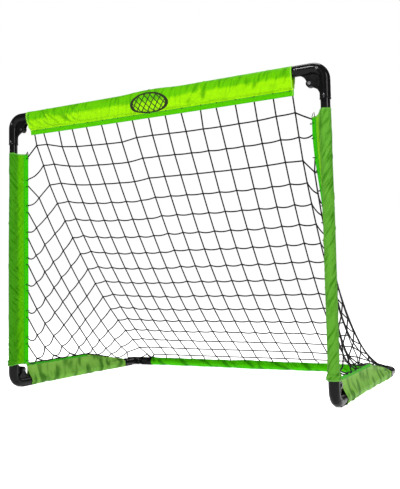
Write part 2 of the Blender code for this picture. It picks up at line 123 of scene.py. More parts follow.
def mesh_object(name, points, faces, uvs=None, material=None):
    """A mesh from points and faces; uvs holds one (u, v) for each corner of each face."""
    mesh = bpy.data.meshes.new(name)
    mesh.from_pydata([tuple(point) for point in points], [], faces)
    if uvs is not None:
        layer = mesh.uv_layers.new(name="pattern")
        layer.data.foreach_set("uv", np.asarray(uvs, np.float32).ravel())
    if material:
        mesh.materials.append(material)
    mesh.shade_smooth()
    return add_object(name, mesh)


def bake(thing):
    """Apply the modifiers of an object to its mesh."""
    bpy.context.view_layer.update()
    graph = bpy.context.evaluated_depsgraph_get()
    mesh = bpy.data.meshes.new_from_object(
        thing.evaluated_get(graph), preserve_all_data_layers=True, depsgraph=graph
    )
    mesh.name = thing.name
    thing.modifiers.clear()
    thing.data = mesh
    return thing


def circle(centre, across, up, radius, sides=40):
    """Points round a centre, in the plane of two unit vectors."""
    turns = [2 * pi * k / sides for k in range(sides)]
    return [centre + (across * cos(turn) + up * sin(turn)) * radius for turn in turns]


# Materials


class Look:
    """A Principled material, with short ways to add the nodes that drive it."""

    def __init__(self, name, **values):
        self.material = bpy.data.materials.new(name)
        self.material.use_nodes = True
        self.tree = self.material.node_tree
        self.shader = self.tree.nodes["Principled BSDF"]
        for socket, value in values.items():
            self.set(socket.replace("_", " ").title().replace("Ior", "IOR"), value)

    def join(self, socket, value):
        """Link an output to a socket, or give it a value; colours leave out alpha."""
        if isinstance(value, bpy.types.NodeSocket):
            self.tree.links.new(value, socket)
        else:
            colour = isinstance(value, tuple) and socket.type == "RGBA"
            socket.default_value = (*value, 1) if colour else value

    def set(self, socket, value):
        self.join(self.shader.inputs[socket], value)

    def done(self, colour, roughness, normal):
        """Set what the noises drive, and return the material."""
        self.set("Base Color", colour)
        self.set("Roughness", roughness)
        if normal:
            self.set("Normal", normal)
        return self.material

    def node(self, kind, output=0, props=None, **inputs):
        """Add a node and return an output. Inputs are in0, in1 ... by place, or named."""
        made = self.tree.nodes.new("ShaderNode" + kind)
        for key, value in (props or {}).items():
            setattr(made, key, value)
        for key, value in inputs.items():
            self.join(made.inputs[int(key[2:]) if key.startswith("in") else key], value)
        return made.outputs[output]

    def math(self, operation, a, b=0.0, c=0.0):
        return self.node("Math", props={"operation": operation}, in0=a, in1=b, in2=c)

    def times(self, a, b):
        return self.math("MULTIPLY", a, b)

    def fma(self, a, b, c):
        return self.math("MULTIPLY_ADD", a, b, c)

    def wave(self, value, length):
        return self.math("SINE", self.times(value, 2 * pi / length))

    def coords(self, kind="Object"):
        return self.node("TexCoord", kind)

    def pattern(self):
        """The two coordinates of the cloth's own pattern, in metres."""
        return [self.node("SeparateXYZ", axis, in0=self.coords("UV")) for axis in (0, 1)]

    def layer(self, name):
        return self.node("Attribute", "Fac", {"attribute_name": name})

    def noise(self, vector, scale, detail=3.0, roughness=0.5):
        """Noise between 0 and 1 on a vector in metres."""
        return self.node("TexNoise", in0=vector, in2=scale, in3=detail, in4=roughness)

    def span(self, value, low, high, to_low=0.0, to_high=1.0):
        """Remap value from low..high to to_low..to_high, clamped."""
        return self.node("MapRange", in0=value, in1=low, in2=high, in3=to_low, in4=to_high)

    def mix(self, factor, a, b):
        return self.node("Mix", 2, {"data_type": "RGBA"}, in0=factor, in6=a, in7=b)

    def bump(self, height, distance, strength, **under):
        return self.node("Bump", Strength=strength, Distance=distance, Height=height, **under)


def dark_plastic():
    """Moulded black nylon: fine grain, mould flow, pale rubbed edges."""
    look = Look("moulded_black", coat_weight=0.06, coat_roughness=0.08, specular_ior_level=0.06)
    at = look.coords()
    worn = look.span(look.node("NewGeometry", "Pointiness"), 0.62, 0.75)
    rubbed = look.times(worn, look.span(look.noise(at, 160.0), 0.45, 0.65))
    colour = look.mix(look.noise(at, 35.0), (0.002, 0.002, 0.0023), (0.005, 0.005, 0.0055))
    return look.done(
        look.mix(rubbed, colour, (0.02, 0.02, 0.021)),
        look.span(look.noise(at, 90.0), 0.3, 0.7, 0.15, 0.27),
        look.bump(look.noise(at, 1400.0, 2.0), 0.00005, 0.5),
    )


def tube_paint():
    """Black powder coat: orange peel, and dust in patches."""
    look = Look("powder_coat", coat_weight=0.10, coat_roughness=0.05, specular_ior_level=0.09)
    at = look.coords()
    dust = look.span(look.noise(at, 24.0), 0.45, 0.8)
    return look.done(
        look.mix(dust, (0.003, 0.003, 0.0035), (0.007, 0.007, 0.0075)),
        look.span(dust, 0.0, 1.0, 0.12, 0.24),
        look.bump(look.noise(at, 420.0, 2.0), 0.0001, 0.35),
    )


def dark_steel():
    """Blackened steel of pins, rivets and buttons: brushed, in lighter and darker patches."""
    look = Look("dark_steel", metallic=1.0)
    at = look.coords()
    scratch = look.noise(at, 900.0, 4.0, 0.7)
    patch = look.span(look.noise(at, 220.0), 0.35, 0.65)
    return look.done(
        look.mix(patch, (0.03, 0.03, 0.032), (0.10, 0.10, 0.105)),
        look.span(scratch, 0.3, 0.7, 0.22, 0.45), look.bump(scratch, 0.00004, 0.4),
    )


TWINE_LAY = 0.0032
WEAVE_PITCH = 0.0009
RIB_PITCH = 0.0016
MARK_MESH = 0.017
INK = (0.012, 0.014, 0.010)


def net_cord():
    """Black twisted polyethylene twine; u runs round the cord and v along it."""
    look = Look("net_twine", sheen_weight=0.03, sheen_roughness=0.5, specular_ior_level=0.06)
    u, v = look.pattern()
    strand = look.wave(look.fma(v, 1 / TWINE_LAY, u), 0.5)
    fuzz = look.noise(look.coords("UV"), 300.0)
    height = look.fma(fuzz, 0.3, strand)
    tone = look.span(height, -1.0, 1.3)
    return look.done(
        look.mix(tone, (0.0015, 0.0015, 0.0015), (0.006, 0.006, 0.006)),
        look.span(fuzz, 0.3, 0.7, 0.5, 0.72), look.bump(height, 0.0003, 0.7),
    )


def drag_lines(look, uv, angle, size, dense):
    """Narrow creases that run in one direction of the cloth, in patches; 1 in their depths. The
    cloth paints shade into them.
    """
    along = look.node("Mapping", props={"vector_type": "TEXTURE"}, in0=uv,
                      in2=(0.0, 0.0, angle), in3=(*size, 1.0))
    lines = look.span(look.noise(along, 1.0, 1.0), 0.50 - dense, 0.64 - dense)
    return look.times(lines, look.span(look.noise(uv, 16.0, 1.0), 0.36 - dense, 0.52 - dense))


def cloth_look(name, specular, sheen):
    return Look(name, specular_ior_level=specular, specular_tint=(0.65, 1.0, 0.02),
                sheen_weight=sheen, sheen_roughness=0.4, sheen_tint=(0.5, 1.0, 0.0))


def fabric(name, bright, shade, backed, mark=None, drag=0.8, depth=0.6,
           size=(0.040, 0.0060), loose=0.25, dense=0.0):
    """Thin woven nylon, with painted shade where a tube lies behind and over_tube is 1, in the
    valleys of folds and in narrow creases.
    Its painted creases run at an angle of drag, with a depth, a size and a share away from the
    tube, loose."""
    look = cloth_look(name, 0.13, 0.08)
    uv, (u, v) = look.coords("UV"), look.pattern()
    cell = look.times(look.wave(u, WEAVE_PITCH), look.wave(v, WEAVE_PITCH))
    over, slub = look.layer("over_tube"), look.noise(uv, 700.0, 2.0)
    lines = drag_lines(look, uv, drag, size, dense)
    strength = look.times(look.fma(over, 1 - loose, loose), depth)
    soft = tuple(b * 0.82 + s * 0.18 for b, s in zip(bright, shade))
    colour = look.mix(look.span(look.noise(uv, 26.0, 4.0, 0.6), 0.3, 0.7), bright, soft)
    # Painted shade: the cloth over the tube is mixed towards a darker colour.
    colour = look.mix(over, colour, backed)
    # Painted shade in the valleys of folds.
    colour = look.mix(look.times(look.layer("valley"), 0.80), colour, shade)
    # Painted shade in narrow creases, heavier over the tube.
    colour = look.mix(look.times(lines, strength), colour, shade)
    colour = look.mix(look.span(cell, -1.0, 1.0, 0.0, 0.14), colour, shade)
    if mark:
        colour = look.mix(mark_mask(look, u, v, *mark), colour, INK)
    weave = look.bump(look.fma(slub, 0.5, cell), 0.00012, 0.35)
    crease = look.fma(lines, -0.8, look.noise(uv, 70.0, 4.0, 0.6))
    rough = look.span(slub, 0.3, 0.7, 0.48, 0.65)
    return look.done(colour, rough, look.bump(crease, 0.0012, 0.22, Normal=weave))


def mark_mask(look, u, v, height, half_u, half_v):
    """Generic print: an oval ring filled with a plain net pattern, at a height on the cloth."""
    v = look.math("SUBTRACT", v, height)
    wide, high = look.math("DIVIDE", u, half_u), look.math("DIVIDE", v, half_v)
    radius = look.math("SQRT", look.fma(high, high, look.times(wide, wide)))
    shown = look.math("GREATER_THAN", radius, 0.84)
    for way in (1.0, -1.0):
        slant = look.fma(v, way, u)
        phase = look.math("FRACT", look.math("DIVIDE", slant, MARK_MESH))
        off = look.math("ABSOLUTE", look.math("SUBTRACT", phase, 0.5))
        shown = look.math("MAXIMUM", shown, look.math("LESS_THAN", off, 0.10))
    return look.times(look.math("LESS_THAN", radius, 1.0), shown)


def hem_tape(name, bright, shade):
    """Grosgrain tape: ribs across its length."""
    look = cloth_look(name, 0.10, 0.06)
    rib = look.wave(look.pattern()[0], RIB_PITCH)
    cloud = look.noise(look.coords("UV"), 60.0)
    tone = look.span(look.fma(rib, 0.18, cloud), 0.25, 0.75)
    rough = look.span(cloud, 0.3, 0.7, 0.5, 0.65)
    return look.done(look.mix(tone, shade, bright), rough, look.bump(rib, 0.0003, 0.5))


def thread(name, colour):
    """Sewing thread, lighter and darker along it."""
    look = Look(name, sheen_weight=0.2)
    fuzz = look.noise(look.coords(), 1500.0)
    colour = look.mix(fuzz, colour, tuple(c * 0.5 for c in colour))
    return look.done(colour, look.span(fuzz, 0.3, 0.7, 0.5, 0.7), None)


# Cloth

CLOTH_GAP = 0.0004
CLOTH_THICKNESS = 0.0004
CELL = 0.0026
HEM_HEIGHT = 0.0145
SETTLE_STEPS = 90
SLACK = 0.006
GRAVITY = 6e-6
THREADS = (
    (1, 0, 1.0), (0, 1, 1.0), (1, 1, 0.30), (1, -1, 0.30), (2, 0, 0.22), (0, 2, 0.22),
)
TAPE_THICKNESS = 0.0022
STITCH_PITCH = 0.0038
STITCH_RADIUS = 0.00045
EDGE_RADIUS = 0.0009


def section(radius, reach, gap, count):
    """Points (along the flap, across it) of a sleeve's section, evenly from the front hem round
    the tube to the back hem; and its girth."""
    touch = np.arccos(min(radius / reach, 1.0))
    angles = np.linspace(touch, 2 * pi - touch, 90)
    line = np.column_stack([radius * np.cos(angles), radius * np.sin(angles)])
    seam = reach - HEM_HEIGHT
    line = np.vstack([[reach, gap], [seam, gap], line, [seam, -gap], [reach, -gap]])
    along = np.append(0, np.cumsum(np.hypot(*np.diff(line, axis=0).T)))
    even = np.linspace(0, along[-1], count)
    return np.column_stack([np.interp(even, along, line[:, k]) for k in (0, 1)]), along[-1]


def grid_pairs(P):
    """Threads between the points of a grid of cloth: their ends, rest lengths and stiffness."""
    pairs = []
    for i, j, stiffness in THREADS:
        a = slice(None, -i or None), slice(max(-j, 0), -j if j > 0 else None)
        b = slice(i, None), slice(max(j, 0), j if j < 0 else None)
        gap = P[b] - P[a]
        pairs.append((a, b, np.sqrt((gap * gap).sum(-1)) * (1 + SLACK), stiffness))
    return pairs


def from_axis(P, start, direction):
    """The arm from a tube's axis to each point, and its length."""
    arm = P - start
    arm -= (arm @ direction)[..., None] * direction
    return arm, np.sqrt((arm * arm).sum(-1))


def drape(P, pinned, start, direction, clear):
    """Let a grid of cloth settle over its tube, whose radius to clear is given by column."""
    pairs = grid_pairs(P)
    free = (~pinned)[..., None].astype(float)
    ends = P[[0, -1]] @ direction
    before = P.copy()
    for _ in range(SETTLE_STEPS):
        speed = (P - before) * 0.94
        before = P.copy()
        P = P + free * (speed + np.array([0, 0, -GRAVITY]))
        for _ in range(3):
            moves = np.zeros_like(P)
            for a, b, rest, stiffness in pairs:
                gap = P[b] - P[a]
                length = np.sqrt((gap * gap).sum(-1))
                share = (0.5 * stiffness) * (length - rest) / np.maximum(length, 1e-9)
                moves[a] += gap * share[..., None]
                moves[b] -= gap * share[..., None]
            P = P + free * moves * 0.36
            for end, keep in zip((0, -1), ends):
                slip = P[end] @ direction - keep
                P[end] -= free[end] * slip[:, None] * direction
            arm, length = from_axis(P, start, direction)
            short = np.maximum(clear[:, None] - length, 0) / np.maximum(length, 1e-9)
            P = P + free * arm * short[..., None]
    return P


def scatter(seed, count, span, band, lean, height, bold=1.0):
    """Folds at random in a span of the length and a band of the girth: the middle of each,
    the direction it runs in, half its width, half its length and its height."""
    rng = np.random.default_rng(seed)
    return [
        (rng.uniform(*span), rng.uniform(*band), lean + rng.normal(0, 0.16),
         rng.uniform(0.0021, 0.0040) * bold, rng.uniform(0.014, 0.040),
         height * rng.uniform(0.35, 1.0))
        for _ in range(count)
    ]


def cloth_mesh(name, P, u, v, material, finer=0, **layers):
    """A skin of cloth through a grid of points, closed round where v has one place more. u and
    v place the columns and rows in its pattern; its material reads the layers."""
    columns, rows = P.shape[:2]
    ids = np.arange(columns * rows).reshape(columns, rows)
    if len(v) > rows:
        ids = np.column_stack([ids, ids[:, 0]])

    def corners(grid):
        return np.stack([grid[:-1, :-1], grid[:-1, 1:], grid[1:, 1:], grid[1:, :-1]], 2)

    faces = corners(ids).reshape(-1, 4)
    uvs = corners(np.stack(np.meshgrid(u, v, indexing="ij"), -1))
    points = [place(point) for point in P.reshape(-1, 3)]
    thing = mesh_object(name, points, faces.tolist(), uvs, material)
    for layer, values in layers.items():
        made = thing.data.attributes.new(layer, "FLOAT", "POINT")
        made.data.foreach_set("value", np.ravel(values).astype(np.float32))
    if finer:
        thing.modifiers.new("finer", "SUBSURF").levels = finer
    skin = thing.modifiers.new("skin", "SOLIDIFY")
    skin.thickness = CLOTH_THICKNESS
    skin.offset = 0
    return bake(thing)


class Sleeve:
    """A fabric sleeve round a straight tube, with a flap whose hem holds the net. flap gives
    the flap's unit direction, reach its hem's distance from the axis and clear the radius to
    clear, each along the tube; ends shift the hem's ends along it."""

    def __init__(self, name, start, end, flap, reach, clear, folds, seed, ends, stepped=False):
        self.name = name
        self.start, end = np.array(start, float), np.array(end, float)
        self.length = np.linalg.norm(end - self.start)
        self.direction = (end - self.start) / self.length
        self.along = np.linspace(0, 1, int(ceil(self.length / CELL)) + 1)
        reaches = [float(reach(t)) for t in self.along]
        _, self.girth = section(TUBE_RADIUS, max(reaches), CLOTH_GAP, 9)
        rows = 2 * (int(ceil(self.girth / CELL)) // 2) + 1
        self.around = np.linspace(0, 1, rows)
        slid = 1 - np.sin(pi * self.around)
        if stepped:
            slid = 1 - smooth((np.minimum(self.around, 1 - self.around) - 0.22) / 0.10)
        self.clear = np.array([float(clear(t * self.length)) for t in self.along])
        self.way = np.array([flap(t) for t in self.along], float)
        self.side = np.cross(self.way, self.direction)
        t = self.along[:, None]
        base = self.start + self.direction * self.length * t
        shift = self.direction * (ends[0] * (1 - t) + ends[1] * t)
        self.hem = base + shift + self.way * np.array(reaches)[:, None]
        lines = np.array([
            section(radius + 0.0001, far, CLOTH_GAP, rows)[0]
            for radius, far in zip(self.clear, reaches)
        ])
        shape = (
            base[:, None] + shift[:, None] * slid[:, None]
            + lines[..., :1] * self.way[:, None] + lines[..., 1:] * self.side[:, None]
        )
        self.P = self.settle(shape, folds, seed)

    def settle(self, shape, folds, seed):
        rng = np.random.default_rng(seed)
        u, v = np.meshgrid(self.along * self.length, self.around * self.girth, indexing="ij")
        wave = rng.normal(0, 0.00012, u.shape)
        for _ in range(10):
            size = rng.uniform(0.03, 0.11)
            tilt = rng.uniform(0.3, 2.8)
            wave += 0.00016 * np.sin((u * cos(tilt) + v * sin(tilt)) * 2 * pi / size + 9 * tilt)
        for mid_u, mid_v, angle, width, long, height in folds:
            ahead = (u - mid_u) * cos(angle) + (v - mid_v) * sin(angle)
            across = (v - mid_v) * cos(angle) - (u - mid_u) * sin(angle)
            ridge = np.exp(-((across / width) ** 2))
            ridge -= 0.7 * np.exp(-(((across - 1.7 * width) / width) ** 2))
            wave += height * ridge * np.exp(-((ahead / long) ** 2))
        from_hem = np.minimum(v, self.girth - v)
        wave *= smooth((from_hem - HEM_HEIGHT) / 0.012)
        # Painted shade: how deep each point lies in a fold's valley, later darkened in the cloth's
        # colour.
        self.valley = smooth(-wave / 0.0019)
        out, length = from_axis(shape, self.start, self.direction)
        out /= np.maximum(length, 1e-9)[..., None]
        away = np.where(self.around < 0.5, 1.0, -1.0)[None, :, None] * self.side[:, None, :]
        mostly = smooth(np.minimum(self.around, 1 - self.around) * 4)[None, :, None]
        P = shape + (out * mostly + away * (1 - mostly)) * wave[..., None]
        pinned = from_hem < HEM_HEIGHT - 0.0004
        P = drape(P, pinned, self.start, self.direction, self.clear)
        P[..., 2] = np.maximum(P[..., 2], CLOTH_THICKNESS - BASE)
        return P

    def cloth(self, material, centre=0.5):
        """The cloth as an object; its pattern's u is 0 at a share of the length."""
        off = from_axis(self.P, self.start, self.direction)[1] - self.clear[:, None]
        # over_tube marks where the material paints shade over the tube; the valley layer marks
        # where it paints shade in the folds.
        return cloth_mesh(
            self.name, self.P, (self.along - centre) * self.length, self.around * self.girth,
            material, 1, over_tube=1 - smooth((off - 0.0016) / 0.0060), valley=self.valley,
        )

    def tape(self, name, material, height, first=0.0, last=1.0):
        """Tape folded round the hem, following it from first to last."""
        half, lip = TAPE_THICKNESS / 2, TAPE_THICKNESS * 0.3
        outline = [(-height, half - lip), (-height + lip, half), (-lip, half), (0.0004, half - lip)]
        outline += [(p, -q) for p, q in reversed(outline)]
        rings, places = [], []
        for i, t in enumerate(self.along):
            if first - 1e-9 <= t <= last + 1e-9:
                at, way, side = self.hem[i], self.way[i], self.side[i]
                rings.append([place(at + way * p + side * q) for p, q in outline])
                places.append(t * self.length)
        return sweep(name, [rings], [places], material)

    def stitches(self, name, depth, last=1.0):
        """A row of stitches on each face of the tape."""
        paths = []
        count = int(last * self.length / STITCH_PITCH)
        for number in range(count):
            ends = [(number + k) / count * last for k in (0.18, 0.82)]
            for face in (1, -1):
                path = []
                for t, lift in ((ends[0], -0.0002), (sum(ends) / 2, 0.0002), (ends[1], -0.0002)):
                    hem, way, side = self.at(t)
                    out = side * face * (TAPE_THICKNESS / 2 + lift)
                    path.append(place(hem - way * depth + out))
                paths.append(path)
        return tubes(name, paths, STITCH_RADIUS, 4, THREAD)

    def edges(self, name, material):
        """Narrow rolled hems round both open ends of the sleeve."""
        paths = [[place(point) for point in self.P[i]] for i in (1, -2)]
        return tubes(name, paths, EDGE_RADIUS, 6, material)

    def at(self, t):
        """Hem point, flap direction and side direction at share t of the length."""
        return [
            np.array([np.interp(t, self.along, row[:, k]) for k in range(3)])
            for row in (self.hem, self.way, self.side)
        ]


def sweep(name, runs, places, material, flip=1):
    """Closed skins through rings of points. Their places along each run are u of the pattern,
    or v where flip is -1."""
    points, faces, uvs = [], [], []
    for rings, at in zip(runs, places):
        sides = len(rings[0])
        base = len(points)
        points += sum(rings, [])
        for i in range(len(rings) - 1):
            low, high = base + i * sides, base + (i + 1) * sides
            for k in range(sides):
                m = (k + 1) % sides
                faces.append((low + k, low + m, high + m, high + k))
                near, far = k / sides, (k + 1) / sides
                uvs += [(at[i], near), (at[i], far), (at[i + 1], far), (at[i + 1], near)]
        for i, turn in ((0, -1), (len(rings) - 1, 1)):
            faces.append([base + i * sides + k for k in range(sides)][::turn])
            uvs += [(at[i], 0.0)] * sides
    return mesh_object(name, points, faces, [uv[::flip] for uv in uvs], material)


def tube_rings(path, radius, sides):
    """Rings round a path, and their places along it; radius is one number or one a point."""
    path = [Vector(point) for point in path]
    radii = radius if hasattr(radius, "__len__") else [radius] * len(path)
    rings, places, walked, across = [], [], 0.0, None
    for i, point in enumerate(path):
        way = (path[min(i + 1, len(path) - 1)] - path[max(i - 1, 0)]).normalized()
        if across is None:
            across = way.cross(X if abs(way.x) < 0.8 else Y).normalized()
        across = (across - way * across.dot(way)).normalized()
        if i:
            walked += (point - path[i - 1]).length
        places.append(walked)
        rings.append(circle(point, across, way.cross(across), radii[i], sides))
    return rings, places


def tubes(name, paths, radius, sides, material):
    """One object of round cords along paths; v of its pattern runs along each cord."""
    sizes = radius if isinstance(radius, list) else [radius] * len(paths)
    made = [tube_rings(path, size, sides) for path, size in zip(paths, sizes)]
    return sweep(name, *zip(*made), material, flip=-1)


# Net

HEM_DROP = 0.0525
NET_TOP = np.array([0.0, 0.002, HEIGHT - HEM_DROP])
NET_BOTTOM = np.array([0.0, DEPTH - 0.004, 0.0140])
COLUMNS = 17
ROWS = 16
UPPER_ROWS = 9
COLUMN_PITCH = 0.0485
FIRST_ROW = 0.036
LAST_ROW = 0.030
ROWS_LENGTH = 0.892
FIRST_LENGTHS = (
    0.029, 0.031, 0.044, 0.049, 0.051, 0.053, 0.054, 0.047, 0.047, 0.048, 0.049, 0.049, 0.049,
    0.048, 0.047, 0.043, 0.040,
)
TOP_X = np.append(-0.376, np.linspace(-0.344, 0.376, COLUMNS - 1))
LOW_X = np.append(-0.386, np.linspace(-0.370, 0.374, COLUMNS - 1))
LOW_X[-1] = 0.350
CORD_RADIUS = 0.00178
KNOT_RADIUS = 0.0025
STRING_PARTS = 3
POST_REACH = 0.0415
POST_FLAP_ENDS = (0.058, 0.630)
SIDE_HEM = 0.049
SIDE_HEM_ENDS = (0.062, 0.331)
SIDE_SLEEVE_END = 0.539
SIDE_NET_AT = (0.411, 0.440)
SIDE_SHARE = {-1: 0.975, 1: 1.01}
CORNER_REACH = 0.036
CORNER_MARGIN = 0.060
COLUMN_TIE = 0.043


def flap_way(side, height):
    """Direction of a post's flap, which the net twists out of the mouth's plane."""
    turn = radians(22)
    if side > 0:
        upper, lower = smooth((0.62 - height) / 0.22), smooth((0.42 - height) / 0.2)
        turn = radians(27 + 30 * float(upper) + 18 * float(lower))
    return np.array([-side * cos(turn), sin(turn), 0])


def post_hem(side, height):
    height = min(max(height, POST_FLAP_ENDS[0]), POST_FLAP_ENDS[1])
    return np.array([side * HALF, 0, height]) + flap_way(side, height) * POST_REACH


def side_reach(y):
    """Height of a side sleeve's hem over its tube's axis; it slopes down at the rear."""
    fall = np.clip((y - SIDE_HEM_ENDS[1]) / (SIDE_SLEEVE_END - SIDE_HEM_ENDS[1]), 0, 1)
    return SIDE_HEM + (TUBE_RADIUS + 0.003 - SIDE_HEM) * fall


def side_hem(side, y):
    y = max(y, SIDE_HEM_ENDS[0])
    return np.array([side * HALF, y, side_reach(y)])


class Net:
    """The net as strings between nodes: one sheet of square mesh that runs from post to post
    round the back, tied to the hems."""

    def __init__(self):
        self.rng = np.random.default_rng(5)
        self.nodes, self.fixed, self.strings = [], [], []
        self.chord = np.linalg.norm(NET_BOTTOM - NET_TOP)
        self.row_at = self.spread_rows(FIRST_ROW)
        self.back_panel()
        self.hang()
        self.side_panel(-1, 0)
        self.side_panel(1, COLUMNS - 1)
        self.hang()
        self.pull_taut()
        self.hang(300)

    def spread_rows(self, first):
        """Distance of each row from the top along the back panel."""
        pitch = (ROWS_LENGTH - first) / (ROWS - 1)
        scale = self.chord / (ROWS_LENGTH + LAST_ROW)
        return [(first + row * pitch) * scale for row in range(ROWS)]

    def add(self, point, fixed=False, jitter=0.0):
        self.nodes.append(np.array(point) + self.rng.normal(0, 1, 3) * jitter)
        self.fixed.append(fixed)
        return len(self.nodes) - 1

    def gap(self, a, b):
        return np.linalg.norm(self.nodes[b] - self.nodes[a])

    def tie(self, a, b, part, length=0.0, spread=0.0):
        """A string from a to b of that length, or as long as the gap where length is 0."""
        length = (length or self.gap(a, b)) * (1 + self.rng.normal(0, 1) * spread)
        self.strings.append((a, b, part, length))

    def pull_taut(self):
        """Take up the slack of the side panels' strings where they hang now."""
        for i, (a, b, part, length) in enumerate(self.strings):
            if part in ("left", "right"):
                self.strings[i] = (a, b, part, min(length, self.gap(a, b) * 1.015))

    def back_panel(self):
        along = (NET_BOTTOM - NET_TOP) / self.chord
        self.ends, self.grid = [], {}
        for c, (top_x, low_x) in enumerate(zip(TOP_X, LOW_X)):
            top = self.add(NET_TOP + X_AXIS * (top_x + self.rng.normal() * 0.0015), True)
            low = self.add(NET_BOTTOM + X_AXIS * (low_x + self.rng.normal() * 0.002), True)
            self.ends.append((top, low))
            first = FIRST_LENGTHS[c]
            pitch = (ROWS_LENGTH - first) / (ROWS - 1)
            for r, s in enumerate(self.spread_rows(first)):
                t = s / self.chord
                sag = np.array([0, 0, -0.22 * t * (1 - t)])
                x = top_x + (low_x - top_x) * s / self.chord
                point = NET_TOP + along * s + sag + X_AXIS * x
                self.grid[c, r] = self.add(point, jitter=0.0006)
            self.tie(top, self.grid[c, 0], "upper", first)
            for r in range(ROWS - 1):
                part = "upper" if r < UPPER_ROWS else "lower"
                self.tie(self.grid[c, r], self.grid[c, r + 1], part, pitch)
            self.tie(self.grid[c, ROWS - 1], low, "lower", LAST_ROW)
        for r in range(ROWS):
            for c in range(COLUMNS - 1):
                part = "upper" if r < UPPER_ROWS else "lower"
                length = 0.0481 if c else 0.0335
                if c == COLUMNS - 2:
                    length -= 0.007 * r / ROWS
                self.tie(self.grid[c, r], self.grid[c + 1, r], part, length, 0.006)

    def side_panel(self, side, column):
        """The triangle of net between the back panel's edge, down which s runs, a post and a
        side tube. d runs away from that edge."""
        part = HAND[side]
        top, low = (self.nodes[end] for end in self.ends[column])
        edge = np.linalg.norm(low - top)
        along = (low - top) / edge
        across = np.array([side * (HALF - 0.016), 0.026, 0.040]) - top
        foot_s = across @ along
        across = across - along * foot_s
        foot_d = np.linalg.norm(across)
        across /= foot_d
        slope, rise = foot_s / foot_d, (edge - foot_s) / foot_d
        level = [top + along * s for s in self.row_at]
        hung = np.array([self.nodes[self.grid[column, r]] for r in range(ROWS)]) - level

        def width(s):
            return s / slope if s <= foot_s else (edge - s) / rise

        def at(s, d):
            sag = np.array([np.interp(s, self.row_at, hung[:, k]) for k in range(3)])
            point = top + along * s + across * d + sag * max(0, 1 - d / max(width(s), 0.001))
            plane = side * (SIDE_NET_AT[0] + (SIDE_NET_AT[1] - SIDE_NET_AT[0]) * s / edge)
            point[0] += (plane - point[0]) * min(1.0, d / CORNER_REACH)
            return point

        ids = {}
        for k in range(1, int((foot_d + CORNER_REACH / 2) // COLUMN_PITCH) + 1):
            d = k * COLUMN_PITCH - CORNER_REACH / 2
            low_s = edge - d * rise
            rows = [
                r for r, s in enumerate(self.row_at)
                if d * slope + CORNER_MARGIN < s < low_s - 0.024
            ]
            for r in rows:
                ids[k, r] = self.add(at(self.row_at[r], d), jitter=0.0008)
            for r, following in zip(rows, rows[1:]):
                self.tie(ids[k, r], ids[k, following], part)
            if rows:
                first = self.row_at[rows[0]] - COLUMN_TIE
                ends = (post_hem(side, at(first, first / slope)[2]),
                        side_hem(side, at(low_s, d)[1]))
                for end, row in zip(ends, (rows[0], rows[-1])):
                    end = self.add(end, True)
                    length = self.gap(ids[k, row], end) * 0.985
                    self.tie(end, ids[k, row], part, length, 0.008)
        for r, s in enumerate(self.row_at):
            inner = self.grid[column, r]
            for k in sorted(k for k, row in ids if row == r):
                self.tie(inner, ids[k, r], part, COLUMN_PITCH * SIDE_SHARE[side], 0.008)
                inner = ids[k, r]
            edge_point = at(s, width(s))
            if s <= foot_s:
                lift = 0.035 * (1 - s / foot_s) if side > 0 else 0
                end = post_hem(side, edge_point[2] + lift)
            else:
                end = side_hem(side, edge_point[1])
            end = self.add(end, True)
            self.tie(inner, end, part, self.gap(inner, end) * (0.98 if r else 0.86), 0.008)

    def hang(self, steps=600, gravity=5e-6):
        """Hang the strings, which can go slack but not stretch, under their own weight."""
        points, fixed = list(self.nodes), list(self.fixed)
        pairs, rests, self.chains = [], [], []
        for a, b, part, length in self.strings:
            chain = [a, *range(len(points), len(points) + STRING_PARTS - 1), b]
            for i in range(1, STRING_PARTS):
                share = i / STRING_PARTS
                points.append(self.nodes[a] * (1 - share) + self.nodes[b] * share)
                fixed.append(False)
            self.chains.append((chain, part))
            pairs += zip(chain, chain[1:])
            rests += [length / STRING_PARTS] * STRING_PARTS
        P, free = np.array(points), 1.0 - np.array(fixed)
        (a, b), rests, total = np.array(pairs).T, np.array(rests), len(points)
        beside = np.zeros(total, bool)
        for chain, part in self.chains:
            beside[chain] |= part in ("left", "right")
        beside &= free > 0
        weight = np.where(np.arange(total) < len(self.nodes), 1.0, 0.3) * free * gravity
        held = np.maximum(free[a] + free[b], 1)
        count = np.bincount(a, minlength=total) + np.bincount(b, minlength=total)
        before = P.copy()
        for step in range(steps):
            speed = (P - before) * (0.985 if step < steps * 0.6 else 0.9)
            before = P.copy()
            P = P + speed * free[:, None]
            P[:, 2] -= weight
            for _ in range(5):
                gap = P[b] - P[a]
                length = np.sqrt((gap * gap).sum(1))
                over = np.maximum(length - rests, 0) / np.maximum(length, 1e-9) / held
                for axis in range(3):
                    move = gap[:, axis] * over
                    total_move = np.bincount(a, move, total) - np.bincount(b, move, total)
                    P[:, axis] += total_move / count * free * 1.7
                P[beside, 2] = np.maximum(P[beside, 2], side_reach(P[beside, 1]) + 0.001)
        self.P = P
        self.nodes = list(P[: len(self.nodes)])

    def paths(self, part):
        """Smooth lines of the cords of one part."""
        return [
            [place(point) for point in curve_through(self.P[chain], 3)]
            for chain, owner in self.chains if owner == part
        ]

    def knots(self, part):
        """Short thick paths at the crossings of one part."""
        found = {}
        for chain, owner in self.chains:
            if owner == part:
                for node, beside in (chain[:2], chain[:-3:-1]):
                    if not self.fixed[node]:
                        found.setdefault(node, self.P[beside] - self.P[node])
        paths = []
        for node, way in found.items():
            way = way / max(np.linalg.norm(way), 1e-9) * 0.0024
            paths.append([place(self.P[node] + way * k) for k in (-1, -0.5, 0, 0.5, 1)])
        return paths


